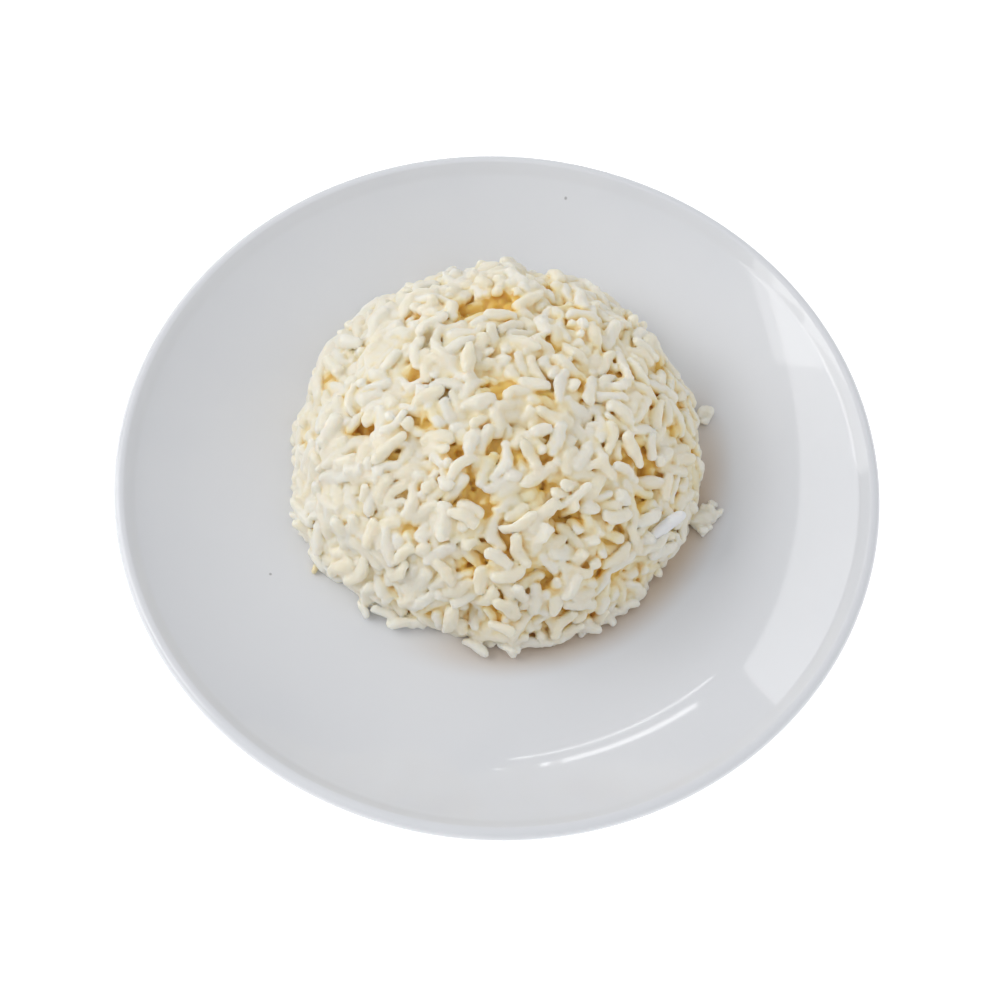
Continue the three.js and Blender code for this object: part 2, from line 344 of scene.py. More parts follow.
@dataclass(frozen=True)
class Porcelain:
    """White glazed ware with a bare foot ring.

    specks are grey spots by place and radius. The foot shade is a painted shadow: a warm grey shade
    on the glaze where the mound shades the plate at its front right foot, warmed as by light thrown back
    from the rice. It lies round its middle, fades between the radii of its edge, and shows only on the
    side that its way points to, from the distances of its start on.
    """

    glaze: Colour = (0.80, 0.812, 0.838)
    shade: Colour = (0.765, 0.78, 0.812)
    shade_share: float = 0.6
    bare: Colour = (0.72, 0.69, 0.64)
    bare_roughness: float = 0.6
    foot_edge: tuple[float, float] = (0.65, 0.35)
    speck: Colour = (0.2, 0.19, 0.19)
    speck_share: float = 0.55
    speck_edge: tuple[float, float] = (1.3, 0.5)
    specks: tuple[tuple[float, float, float], ...] = ((13.0, 89.8, 0.42), (-57.6, -27.4, 0.4))
    # painted shadow: warm grey shade on the glaze at the rice's foot
    painted_foot_shade: Colour = (0.60, 0.50, 0.41)
    foot_shade_middle: tuple[float, float] = (-0.7, 12.4)
    foot_shade_edge: tuple[float, float] = (65.0, 55.0)
    foot_shade_way: tuple[float, float, float] = (0.743, -0.669, 0.0)
    foot_shade_start: tuple[float, float] = (6.0, 41.0)
    roughness: float = 0.03
    wiped: float = 0.04
    ripple_depth: float = 0.02
    ripple_strength: float = 0.2

    def material(self) -> bpy.types.Material:
        """The finish of the whole plate.

        Returns:
            The material.
        """
        shader = Shader(bpy.data.materials.new("white_porcelain"))
        place = shader.place()
        height = Value(shader, shader.node("ShaderNodeSeparateXYZ", {}, {0: place}).outputs["Z"])
        clouds = shader.noise(size=46.0).between(0.3, 0.7)
        glaze = shader.blend(clouds * self.shade_share, self.glaze, self.shade)
        flat = self._flat(shader, place)
        # painted shadow: the glaze turns warm grey round the rice's front right foot, where the mound shades
        # the plate
        glaze = shader.blend(self._painted_foot_shade(shader, flat), glaze, self.painted_foot_shade)
        for x, y, radius in self.specks:
            spot = self._away(shader, flat, (x, y)).between(*(radius * edge * MM for edge in self.speck_edge))
            glaze = shader.blend(spot * self.speck_share, glaze, self.speck)
        bare = height.between(*(edge * MM for edge in self.foot_edge))
        wiped = shader.noise(size=22.0, shift=0.7) * self.wiped
        ripple = shader.noise(size=9.0, detail=1.0, shift=0.3)
        return shader.finish(
            {
                "Base Color": shader.blend(bare, glaze, self.bare),
                "Roughness": self.roughness + wiped + bare * self.bare_roughness,
                "IOR": 1.5,
                "Specular IOR Level": 0.5,
                "Normal": shader.bump(ripple, self.ripple_depth, self.ripple_strength),
            }
        )

    def _flat(self, shader: Shader, place: bpy.types.NodeSocket) -> bpy.types.NodeSocket:
        """The point's place seen from above, with no height."""
        return shader.vector("MULTIPLY", place, (1.0, 1.0, 0.0)).outputs[0]

    def _away(self, shader: Shader, flat: bpy.types.NodeSocket, spot: tuple[float, float]) -> Value:
        """How far, in metres, the flat place lies from a spot given in millimetres."""
        there = (spot[0] * MM, spot[1] * MM, 0.0)
        return Value(shader, shader.vector("DISTANCE", flat, there).outputs["Value"])

    def _painted_foot_shade(self, shader: Shader, flat: bpy.types.NodeSocket) -> Value:
        """How much painted shadow shows: warm grey shade on the glaze at the rice's front right foot.

        Args:
            shader: the material.
            flat: the point's place with no height.

        Returns:
            The painted shadow's share, from 0 to 1.
        """
        near = self._away(shader, flat, self.foot_shade_middle).between(*(r * MM for r in self.foot_shade_edge))
        along = shader.vector("DOT_PRODUCT", flat, self.foot_shade_way)
        side = Value(shader, along.outputs["Value"]).between(*(r * MM for r in self.foot_shade_start))
        return near * side


@dataclass
class CoupePlate:
    """A round plate whose flat middle curves up to a rounded lip."""

    radius: float = 100.0
    floor: float = 5.0
    flat_radius: float = 44.0
    lip_radius: float = 96.6
    rise: float = 16.6
    wall: float = 4.2
    lip_round: float = 1.9
    lip_drop: float = 0.35
    foot_inner: float = 48.0
    foot_outer: float = 53.0
    foot_round: float = 1.3
    recess: float = 2.2
    around: int = 224
    warp: float = 0.09
    finish: Porcelain = field(default_factory=Porcelain)

    def eating_surface(self, r: Array) -> Array:
        """Height of the plate's top at distances r from its middle."""
        share = np.maximum(0.0, r - self.flat_radius) / (self.lip_radius - self.flat_radius)
        return self.floor + self.rise * share**2

    def under(self, points: Array, centre: tuple[float, float]) -> Array:
        """Height of the plate's top over its floor, under points taken from a centre of their own."""
        r = np.hypot(points[..., 0] + centre[0], points[..., 1] + centre[1])
        return self.eating_surface(r) - self.floor

    def _underside(self) -> list[tuple[float, float]]:
        """The section from the middle of the recess over the foot ring to the lip.

        Returns:
            Points as distance from the axis and height.
        """
        inner, outer, bevel = self.foot_inner, self.foot_outer, self.foot_round
        section = [(r, self.recess) for r in (0.0, 12.0, 26.0, 38.0, inner - 2.2 * bevel)]
        section += [(inner - bevel, self.recess - 0.15), (inner - 0.5 * bevel, self.recess * 0.62)]
        section += [(inner, 0.55), (inner + 0.35, 0.12), (inner + 0.9, 0.0), (outer - 0.9, 0.0)]
        section += [(outer - 0.3, 0.12), (outer + 0.1, 0.4), (outer + 0.8, 1.0)]
        for r in np.linspace(outer + 3.4, 90.0, 16):
            ease = min(1.0, (r - outer) / 9.0)
            low = 1.0 + (r - outer) * 0.12
            section.append((r, low * (1 - ease) + (float(self.eating_surface(r)) - self.wall) * ease))
        return section

    def _lip(self) -> list[tuple[float, float]]:
        """The rounded edge, from outside below to inside above.

        Returns:
            Points as distance from the axis and height.
        """
        height = float(self.eating_surface(self.lip_radius)) - self.lip_drop
        arc = []
        for turn in np.radians(np.linspace(-62.0, 122.0, 19)):
            r = self.radius - self.lip_round + self.lip_round * math.cos(turn)
            arc.append((r, height + self.lip_round * math.sin(turn)))
        return arc

    def _top(self) -> list[tuple[float, float]]:
        """The eating surface, from the lip to the middle.

        Returns:
            Points as distance from the axis and height.
        """
        curve = np.linspace(self.lip_radius - 1.2, self.flat_radius, 44)
        flat = (40.0, 33.0, 24.0, 12.0, 0.0)
        return [(r, float(self.eating_surface(r))) for r in (*curve, *flat)]

    def build(self) -> bpy.types.Object:
        """Turns the section about the axis.

        Returns:
            The plate.
        """
        section = np.array(self._underside() + self._lip() + self._top())
        rings = section[1:-1]
        turn = np.linspace(0, 2 * math.pi, self.around, endpoint=False)
        r, z = rings[:, :1], rings[:, 1:]
        share = (r / self.radius) ** 2
        z = z + self.warp * share * np.cos(2 * turn + 0.7) * np.minimum(1.0, z / self.floor)
        points = np.stack([r * np.cos(turn), r * np.sin(turn), z * np.ones_like(turn)], -1).reshape(-1, 3)
        ends = np.array([[0, 0, section[0, 1]], [0, 0, section[-1, 1]]])
        quads, caps = closed_tube_faces(len(rings), self.around)
        made = make_mesh("coupe_plate", np.concatenate([points, ends]), (quads, caps), {})
        dress(made, self.finish.material(), "plate")
        return made


# The mould and the packing of the grains


@dataclass(frozen=True)
class Lobe:
    """A place where the mound's outline swells or sinks."""

    angle: float
    swell: float
    width: float


@dataclass(frozen=True)
class Pit:
    """An open gap between the grains.

    place is on the mound's surface, size the gap's radius, deep how far its bottom lies under the
    surface, stretch and turn its length and heading, and facing how far it opens to the diner.
    """

    place: tuple[float, float, float]
    size: float
    deep: float = 1.2
    stretch: float = 0.0
    turn: float = 0.0
    facing: float = 0.9


@dataclass
class MouldWall:
    """The wall of the bowl that moulded the rice. Points are taken from the mound's own centre."""

    centre: tuple[float, float] = (-0.7, 12.4)
    radius: float = 56.6
    height: float = 43.2
    tuck: float = 2.8
    tuck_height: float = 8.0
    lobes: tuple[Lobe, ...] = (
        Lobe(-143, 3.2, 15),
        Lobe(-103, -1.6, 9),
        Lobe(-84, 1.1, 10),
        Lobe(96, 1.2, 24),
    )

    def reach(self, points: Array) -> Array:
        """How far the wall's ellipse reaches sideways at each point's height and angle.

        Args:
            points: places, one row each.

        Returns:
            The half width of the ellipse that the wall follows there.
        """
        height = np.clip(points[..., 2] / self.height, 0, 1)
        angle = np.degrees(np.arctan2(points[..., 1], points[..., 0]))
        swell = np.zeros_like(angle)
        for lobe in self.lobes:
            apart = (angle - lobe.angle + 180) % 360 - 180
            swell += lobe.swell * np.exp(-((apart / lobe.width) ** 2))
        low = np.maximum(0, 1 - points[..., 2] / self.tuck_height)
        return self.radius - self.tuck * low**2 + swell * (1 - height)

    def outward(self, points: Array) -> Array:
        """The wall's outward direction nearest to each point.

        Args:
            points: places, one row each.

        Returns:
            The directions, with length 1.
        """
        reach = self.reach(points)[..., None]
        up = np.maximum(points[..., 2:], 0) / self.height**2
        return unit(np.concatenate([points[..., :2] / reach**2, up], -1))

    def gap(self, pit: Pit) -> tuple[Array, Array, Array]:
        """Where an open gap lies.

        Args:
            pit: the gap.

        Returns:
            The middle of its bottom, half its run, and the way from its bottom to its mouth.
        """
        place = np.array(pit.place)
        rise = unit(self.outward(place[None])[0] + pit.facing * np.array(DINER))
        turn = math.radians(pit.turn)
        run = np.array([math.cos(turn), math.sin(turn), 0.0]) * pit.stretch / 2
        return place - rise * pit.deep, run, rise * (pit.deep + pit.size)

    def depth(self, points: Array) -> Array:
        """How far each point lies inside the wall.

        Args:
            points: places, one row each.

        Returns:
            Depths in millimetres, below 0 outside.
        """
        reach = self.reach(points)
        flat = np.hypot(points[..., 0], points[..., 1])
        z = np.maximum(points[..., 2], 0)
        share = np.sqrt((flat / reach) ** 2 + (z / self.height) ** 2) + TINY
        slope = np.sqrt((flat / reach**2) ** 2 + (z / self.height**2) ** 2) / share + TINY
        return (1 - share) / slope


class Waves:
    """A smooth random field made of plane waves."""

    def __init__(self, length: float, seed: int, waves: int = 36) -> None:
        """Draws the waves.

        Args:
            length: the typical wavelength in millimetres.
            seed: the seed of the draw.
            waves: how many waves are added up.
        """
        draw = np.random.default_rng(seed)
        stretch = draw.uniform(0.7, 1.5, (waves, 1))
        self.pitch = unit(draw.normal(size=(waves, 3))) * 2 * math.pi / (length * stretch)
        self.start = draw.uniform(0, 2 * math.pi, waves)
        self.scale = math.sqrt(2 / waves)

    def at(self, points: Array) -> Array:
        """Reads the field.

        Args:
            points: places, one row each.

        Returns:
            The numbers there, about -2 to 2 with a spread of 1.
        """
        total = np.zeros(points.shape[:-1])
        for pitch, start in zip(self.pitch, self.start):
            total += np.cos(points @ pitch + start)
        return self.scale * total


class GrainKind(Enum):
    """How a grain has kept, by the name of the piece that holds its kind."""

    MELTED = "melted_rice"
    WHOLE = "whole_grains"
    BROKEN = "broken_grains"


@dataclass
class Grains:
    """Many grains: where they lie and how each is shaped, one row a grain.

    bend is the bow of the middle line across the grain and out of it, blunt how full the two
    ends are, tone how white the grain is, and soaked the butter that it took up beyond its place's.
    """

    middle: Array
    along: Array
    across: Array
    rise: Array
    length: Array
    width: Array
    flat: Array
    bend: Array
    taper: Array
    blunt: Array
    tone: Array
    soaked: Array
    kind: Array

    def some(self, chosen: Array) -> "Grains":
        """Those grains that are chosen."""
        return Grains(*(rows[chosen] for rows in vars(self).values()))


@dataclass
class Packing:
    """Packs grains against the mould's wall, as chains of beads that push each other away.

    Beads are snug times a grain's width in radius. The heap's own surface lies up to about
    unevenness under the wall, in patches, and evens out towards the foot. Some grains stand proud.
    """

    wall: MouldWall
    plate: CoupePlate
    pits: tuple[Pit, ...]
    count: int = 1850
    tries: int = 14
    shell: float = 9.0
    least_depth: float = 1.2
    lengths: tuple[float, float] = (7.6, 11.4)
    widths: tuple[float, float] = (3.1, 4.1)
    flats: tuple[float, float] = (0.7, 0.88)
    short_share: float = 0.14
    short_lengths: tuple[float, float] = (4.6, 6.6)
    snug: float = 0.42
    bow: float = 0.4
    strong_bow: float = 0.9
    strong_share: float = 0.15
    lie: float = 0.8
    lying: tuple[float, float] = (0.85, 0.1)
    stream: float = 0.7
    sway: float = 0.75
    downhill: float = 0.45
    side_tilt: float = 0.45
    unevenness: float = 1.55
    patch: float = 13.0
    even_foot: float = 11.0
    sit: float = 0.42
    proud_share: float = 0.07
    proud: tuple[float, float] = (0.7, 1.8)
    pit_share: float = 0.75
    steps: int = 110
    look_again: int = 6
    slack: float = 1.0
    calm: float = 1.5
    settle: float = 0.08
    beads: int = 4
    seed: int = 1171

    def __post_init__(self) -> None:
        """Draws the fields that the packing follows."""
        self.draw = np.random.default_rng(self.seed)
        self.lumps = Waves(self.patch, self.seed + 1)
        self.streams = [Waves(20.0, self.seed + 2 + axis) for axis in range(3)]
        self.pits = tuple(self._sunk(pit) for pit in self.pits)

    def floor(self, points: Array) -> Array:
        """Height of the plate's top under each point."""
        return self.plate.under(points, self.wall.centre)

    def level(self, points: Array) -> Array:
        """How deep under the mould's wall the heap's own uneven surface lies."""
        uneven = self.unevenness * eased(points[..., 2], 0, self.even_foot)
        return np.maximum(0, uneven * (self.lumps.at(points) + 0.5))

    def _sunk(self, pit: Pit) -> Pit:
        """Moves a pit from the mould's wall down to the heap's own surface.

        Args:
            pit: the pit on the wall.

        Returns:
            The pit on the heap.
        """
        place = np.array([pit.place])
        sunk = place - self.wall.outward(place) * self.level(place)[:, None]
        return replace(pit, place=tuple(sunk[0]))

    def _places(self) -> Array:
        """Draws the grains' first places, in a shell under the wall.

        Returns:
            The places, one row each.
        """
        reach = self.wall.radius + 4
        size = (self.count * self.tries, 3)
        tries = self.draw.uniform((-reach, -reach, 0), (reach, reach, self.wall.height), size)
        depth = self.wall.depth(tries)
        inside = (depth > self.least_depth) & (depth < self.shell)
        inside &= tries[:, 2] > self.floor(tries) + self.least_depth
        return tries[inside][: self.count]

    def _headings(self, middle: Array) -> Array:
        """Draws the grains' directions: along streams, and downhill where the heap is steep.

        Args:
            middle: the grains' places.

        Returns:
            The directions.
        """
        stream = np.stack([field.at(middle) for field in self.streams], -1)
        outward = self.wall.outward(middle)
        steep = np.linalg.norm(outward[:, :2], axis=1, keepdims=True)
        down = unit(np.column_stack([outward[:, :2] * outward[:, 2:], -(steep**2)]))
        sway = self.draw.normal(size=middle.shape) * self.sway
        along = unit(unit(stream) * self.stream + sway + down * steep * self.downhill)
        self.lies = self.draw.random(len(middle)) < self.lie
        upright = (along * outward).sum(-1, keepdims=True) * outward
        return unit(along - upright * np.where(self.lies, *self.lying)[:, None])

    def scatter(self) -> Grains:
        """Draws the grains' first places, directions and shapes.

        Returns:
            The loose grains.
        """
        draw = self.draw
        middle = self._places()
        number = len(middle)
        along = self._headings(middle)
        length = draw.uniform(*self.lengths, number)
        short = draw.random(number) < self.short_share
        length[short] = draw.uniform(*self.short_lengths, short.sum())
        bow = np.where(draw.random(number) < self.strong_share, self.strong_bow, self.bow)
        return Grains(
            middle=middle,
            along=along,
            across=along,
            rise=along,
            length=length,
            width=draw.uniform(*self.widths, number),
            flat=draw.uniform(*self.flats, number),
            bend=draw.normal(0, 1, (number, 2)) * bow[:, None] * (length / 10)[:, None],
            taper=draw.uniform(-0.13, 0.13, number),
            blunt=self._ends(number, short),
            tone=draw.random(number),
            soaked=np.zeros(number),
            kind=np.full(number, GrainKind.MELTED),
        )

    def _ends(self, number: int, short: Array) -> Array:
        """How full each grain's two ends are.

        Args:
            number: how many grains there are.
            short: which of them are broken off at one end.

        Returns:
            Two powers for each grain: 2 is pointed and 8 is flat.
        """
        ends = self.draw.uniform((2.2, 2.4), (3.0, 3.8), (number, 2))
        ends[short, 1] = self.draw.uniform(5, 7, short.sum())
        swap = self.draw.random(number) < 0.5
        ends[swap] = ends[swap][:, ::-1]
        return ends

    def _turn_flat(self, grains: Grains) -> None:
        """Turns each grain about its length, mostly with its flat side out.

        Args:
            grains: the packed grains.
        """
        hint = self.wall.outward(grains.middle) + self.draw.normal(0, self.side_tilt, grains.middle.shape)
        grains.across = unit(np.cross(hint, grains.along))
        grains.rise = np.cross(grains.along, grains.across)

    def _pit_beads(self) -> tuple[Array, Array]:
        """The pits as fixed beads.

        Returns:
            Their middles and radii.
        """
        middles, radii = [], []
        for pit in self.pits:
            bottom, run, rise = self.wall.gap(pit)
            for share in np.linspace(-1, 1, 5) if pit.stretch else np.zeros(1):
                middles.extend(bottom + run * share + rise * up for up in (0, 0.5, 1))
                radii.extend([pit.size * self.pit_share] * 3)
        return np.array(middles), np.array(radii)

    def _near(self, beads: Array, apart: float) -> tuple[Array, Array]:
        """Pairs of beads of different grains that may touch.

        Args:
            beads: all beads, one row each, grain by grain.
            apart: the distance under which a pair counts.

        Returns:
            The two beads of each pair.
        """
        row = 1024
        cell = np.floor((beads + 100) / apart).astype(np.int64)
        key = (cell[:, 0] * row + cell[:, 1]) * row + cell[:, 2]
        order = np.argsort(key)
        ranked = key[order]
        firsts, seconds = [], []
        for dx, dy, dz in np.ndindex(3, 3, 3):
            step = ((dx - 1) * row + dy - 1) * row + dz - 1
            if step < 0:
                continue
            start = np.searchsorted(ranked, key + step, "left")
            stop = np.searchsorted(ranked, key + step, "right")
            many = stop - start
            first = np.repeat(np.arange(len(beads)), many)
            offset = np.arange(many.sum()) - np.repeat(np.cumsum(many) - many, many)
            second = order[np.repeat(start, many) + offset]
            keep = first // self.beads != second // self.beads
            if step == 0:
                keep &= first < second
            first, second = first[keep], second[keep]
            close = np.linalg.norm(beads[first] - beads[second], axis=1) < apart
            firsts.append(first[close])
            seconds.append(second[close])
        return np.concatenate(firsts), np.concatenate(seconds)

    def pack(self) -> Grains:
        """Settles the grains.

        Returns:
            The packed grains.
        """
        grains = self.scatter()
        number = len(grains.middle)
        shares = np.linspace(-1, 1, self.beads)
        radius = np.repeat(grains.width * self.snug, self.beads)
        half = (grains.length - grains.width) / 2
        sit = self.draw.normal(0, self.sit, number)
        proud = self.draw.random(number) < self.proud_share
        sit[proud] = self.draw.uniform(*self.proud, proud.sum())
        margin = radius - np.repeat(sit, self.beads)
        pits, pit_radii = self._pit_beads()
        for step in range(self.steps):
            line = shares[None, :, None] * half[:, None, None] * grains.along[:, None, :]
            beads = (grains.middle[:, None, :] + line).reshape(-1, 3)
            if step % self.look_again == 0:
                pairs = self._near(beads, 2 * self.widths[1] * self.snug + self.slack)
            push = self._part(beads, radius, *pairs)
            push += self._keep_in(beads, margin) + self._keep_out(beads, radius, pits, pit_radii)
            moved = (beads + push).reshape(number, self.beads, 3)
            grains.middle = moved.mean(1)
            grains.along = unit((moved * shares[None, :, None]).sum(1))
            self._lay(grains)
        log.info("packed %d grains", number)
        self._turn_flat(grains)
        return grains

    def _part(self, beads: Array, radius: Array, first: Array, second: Array) -> Array:
        """Moves beads that overlap away from each other.

        Args:
            beads: all beads.
            radius: their radii.
            first: one bead of each pair that may touch.
            second: the other one.

        Returns:
            Their moves.
        """
        gap = beads[first] - beads[second]
        apart = np.linalg.norm(gap, axis=1)
        overlap = np.maximum(0, radius[first] + radius[second] - apart)
        shove = gap / np.maximum(apart, NEAR)[:, None] * overlap[:, None] / 2
        touching = (overlap > 0).astype(float)
        size = len(beads)
        push = [np.bincount(first, way, size) - np.bincount(second, way, size) for way in shove.T]
        hits = np.bincount(first, touching, size) + np.bincount(second, touching, size)
        return np.stack(push, -1) * (self.calm / np.maximum(hits, self.calm))[:, None]

    def _lay(self, grains: Grains) -> None:
        """Leans the lying grains a little further along the wall.

        Args:
            grains: the grains being packed.
        """
        outward = self.wall.outward(grains.middle)
        upright = (grains.along * outward).sum(-1, keepdims=True) * outward
        grains.along = unit(grains.along - upright * np.where(self.lies, self.settle, 0.0)[:, None])

    def _keep_in(self, beads: Array, margin: Array) -> Array:
        """Moves beads back inside the wall, out of the core and up from the plate.

        Args:
            beads: all beads.
            margin: how deep under the wall each bead's middle has to lie.

        Returns:
            Their moves.
        """
        depth = self.wall.depth(beads)
        outward = self.wall.outward(beads)
        wall = margin + self.level(beads)
        push = -outward * np.maximum(0, wall - depth)[:, None]
        push += outward * np.maximum(0, depth - self.shell)[:, None] * 0.5
        low = self.floor(beads) + self.widths[0] * self.snug - beads[:, 2]
        push[:, 2] += np.maximum(0, low)
        return push

    def _keep_out(self, beads: Array, radius: Array, pits: Array, pit_radii: Array) -> Array:
        """Moves beads out of the pits.

        Args:
            beads: all beads.
            radius: their radii.
            pits: the pits' middles.
            pit_radii: the pits' radii.

        Returns:
            Their moves.
        """
        push = np.zeros_like(beads)
        for pit, size in zip(pits, pit_radii):
            gap = beads - pit
            apart = np.linalg.norm(gap, axis=1)
            inside = apart < radius + size
            shove = (radius[inside] + size - apart[inside]) / np.maximum(apart[inside], NEAR)
            push[inside] += gap[inside] * shove[:, None]
        return push


# The grains


@dataclass(frozen=True)
class SetGrain:
    """A grain set at its own place on the mound or beside it; the fields are those of Grains."""

    middle: tuple[float, float, float]
    along: tuple[float, float, float]
    length: float
    width: float
    bend: float = 0.0
    tone: float = 1.0
    soaked: float = 0.0
    kind: GrainKind = GrainKind.MELTED


@dataclass(frozen=True)
class CookedRice:
    """Moist cooked rice: cream white outside, going butter yellow to amber with butter and painted shade.

    butter_from, gold_from and amber_from say between which marks of butter and painted shade each
    colour comes in; the painted shade darkens hollows, creases and the shaded right. wet_from says
    where the rice gets glossier. soak is how far each colour of light goes in.
    """

    cream: Colour = (0.88, 0.81, 0.65)
    white: Colour = (0.86, 0.83, 0.74)
    butter_and_shade: Colour = (0.89, 0.80, 0.57)
    butter_from: tuple[float, float] = (0.0, 0.4)
    gold: Colour = (0.88, 0.72, 0.40)
    gold_from: tuple[float, float] = (0.4, 0.76)
    amber: Colour = (0.81, 0.56, 0.16)
    amber_from: tuple[float, float] = (0.82, 1.1)
    cloudy: float = 0.6
    blotchy: float = 0.22
    roughness: float = 0.48
    wet_from: tuple[float, float] = (0.3, 0.8)
    wet_gloss: float = 0.14
    soak: Colour = (1.0, 0.91, 0.78)
    soak_depth: float = 2.5
    relief_depth: float = 0.2
    relief_strength: float = 0.6

    def material(self) -> bpy.types.Material:
        """The finish of every grain and of the core.

        Returns:
            The material.
        """
        shader = Shader(bpy.data.materials.new("cooked_rice"))
        cloud = (shader.noise(size=2.6, detail=3.0) - 0.5) * self.cloudy
        blotch = (shader.noise(size=3.4, shift=0.2) - 0.5) * self.blotchy
        colour = shader.blend(shader.mark("tone") + cloud, self.cream, self.white)
        # the mark carries butter and painted shade: hollows and creases go golden to amber
        butter_and_shade_level = shader.mark("butter_and_shade") + blotch
        colour = shader.blend(butter_and_shade_level.between(*self.butter_from), colour, self.butter_and_shade)
        colour = shader.blend(butter_and_shade_level.between(*self.gold_from), colour, self.gold)
        colour = shader.blend(butter_and_shade_level.between(*self.amber_from), colour, self.amber)
        relief = shader.noise(size=0.9, detail=3.0, shift=0.5)
        return shader.finish(
            {
                "Base Color": colour,
                "Subsurface Weight": 1.0,
                "Subsurface Radius": self.soak,
                "Subsurface Scale": self.soak_depth * MM,
                "Roughness": self.roughness - butter_and_shade_level.between(*self.wet_from) * self.wet_gloss,
                "IOR": 1.4,
                "Specular IOR Level": 0.28,
                "Normal": shader.bump(relief, self.relief_depth, self.relief_strength),
            }
        )


@dataclass
class GrainMaker:
    """Makes the bodies of many grains at once."""

    rings: int = 11
    around: int = 10
    fullness: float = 2.3
    wavy: float = 0.06
    creased: float = 0.14
    seed: int = 31

    def bodies(self, grains: Grains) -> Array:
        """Shapes the grains.

        Args:
            grains: where they lie and how they are shaped.

        Returns:
            Their corners, as grains by corners by axes.
        """
        draw = np.random.default_rng(self.seed)
        number = len(grains.middle)
        turn = np.linspace(-math.pi / 2, math.pi / 2, self.rings + 2)
        t = np.sin(turn)[None, :, None] * np.ones((number, 1, 1))
        angle = np.linspace(0, 2 * math.pi, self.around, endpoint=False)[None, None, :]
        power = np.where(t < 0, grains.blunt[:, :1, None], grains.blunt[:, 1:, None])
        profile = np.clip(1 - np.abs(t) ** power, 0, 1) ** (1 / self.fullness)
        profile = profile * (1 + grains.taper[:, None, None] * t)
        wave = draw.uniform(0, 2 * math.pi, (number, 3, 1, 1))
        profile = profile * (1 + self.wavy * np.sin(3.3 * t + wave[:, 0]) * np.cos(angle + wave[:, 1]))
        crease = np.cos(angle - wave[:, 2]).clip(0) ** 6
        profile = profile * (1 - draw.uniform(0, self.creased, (number, 1, 1)) * crease * (1 - t**4))
        half = (grains.width / 2)[:, None, None]
        bow = bow_of(t)
        side = profile * half * np.cos(angle) + grains.bend[:, :1, None] * bow
        lift = profile * half * grains.flat[:, None, None] * np.sin(angle) + grains.bend[:, 1:, None] * bow
        run = t * (grains.length / 2)[:, None, None] * np.ones_like(angle)
        body = (
            grains.middle[:, None, None, :]
            + run[..., None] * grains.along[:, None, None, :]
            + side[..., None] * grains.across[:, None, None, :]
            + lift[..., None] * grains.rise[:, None, None, :]
        )
        rings = body[:, 1:-1].reshape(number, -1, 3)
        ends = body[:, [0, -1], 0]
        return np.concatenate([rings, ends], 1)

    def faces(self, number: int) -> tuple[Array, Array]:
        """Faces of so many grains.

        Args:
            number: how many grains there are.

        Returns:
            All quads and all triangles.
        """
        quads, caps = closed_tube_faces(self.rings, self.around)
        start = np.arange(number)[:, None, None] * (self.rings * self.around + 2)
        return (quads + start).reshape(-1, 4), (caps + start).reshape(-1, 3)


def bow_of(t: Array) -> Array:
    """How a bowed grain's middle line runs, for places t from -1 to 1 along it."""
    return 2 / 3 - t**2


class Grid:
    """A block of numbers on a regular grid round the mound."""

    def __init__(self, low: Sequence[float], high: Sequence[float], step: float) -> None:
        """Lays out the grid.

        Args:
            low: its lowest corner.
            high: its highest corner.
            step: its pitch.
        """
        self.low = np.array(low, float)
        self.step = step
        self.shape = tuple(int(math.ceil((b - a) / step)) + 1 for a, b in zip(low, high))

    def points(self, part: Sequence[slice]) -> Array:
        """The points of a part of the grid, as a block of rows of three."""
        axes = [self.low[i] + self.step * np.arange(part[i].start, part[i].stop) for i in range(3)]
        return np.stack(np.meshgrid(*axes, indexing="ij"), -1)

    def around(self, low: Array, high: Array) -> tuple[tuple[slice, ...], Array]:
        """The part of the grid inside a box.

        Args:
            low: the box's lowest corner.
            high: its highest corner.

        Returns:
            The slices of the part, and its points.
        """
        first = np.clip(np.floor((low - self.low) / self.step).astype(int), 0, None)
        last = np.minimum(np.ceil((high - self.low) / self.step).astype(int) + 1, self.shape)
        part = tuple(slice(a, max(a, b)) for a, b in zip(first, last))
        return part, self.points(part)

    def read(self, block: Array, points: Array) -> Array:
        """Reads a block at any points, evenly between its own.

        Args:
            block: numbers on the grid.
            points: places, one row each.

        Returns:
            The numbers there.
        """
        place = np.clip((points - self.low) / self.step, 0, np.array(self.shape) - 1.001)
        cell = place.astype(int)
        share = place - cell
        total = np.zeros(len(points))
        for corner in np.ndindex(2, 2, 2):
            weight = np.prod(np.where(corner, share, 1 - share), axis=1)
            x, y, z = (cell + corner).T
            total += weight * block[x, y, z]
        return total


def eased(value: Array, low: float, high: float) -> Array:
    """Rises smoothly from 0 where value is low to 1 where it is high."""
    share = np.clip((value - low) / (high - low), 0, 1)
    return share * share * (3 - 2 * share)


def soften(block: Array, reach: int, passes: int = 2) -> Array:
    """Averages a block over its neighbours.

    Args:
        block: numbers on a grid.
        reach: how many steps to each side count.
        passes: how many times it is done.

    Returns:
        The softened block.
    """
    wide = 2 * reach + 1
    for _ in range(passes):
        for axis in range(3):
            pads = [(0, 0)] * 3
            pads[axis] = (reach + 1, reach)
            total = np.cumsum(np.pad(block, pads, mode="edge"), axis=axis, dtype=np.float64)
            count = block.shape[axis]
            upper = np.take(total, np.arange(wide, wide + count), axis=axis)
            lower = np.take(total, np.arange(0, count), axis=axis)
            block = (upper - lower) / wide
    return block


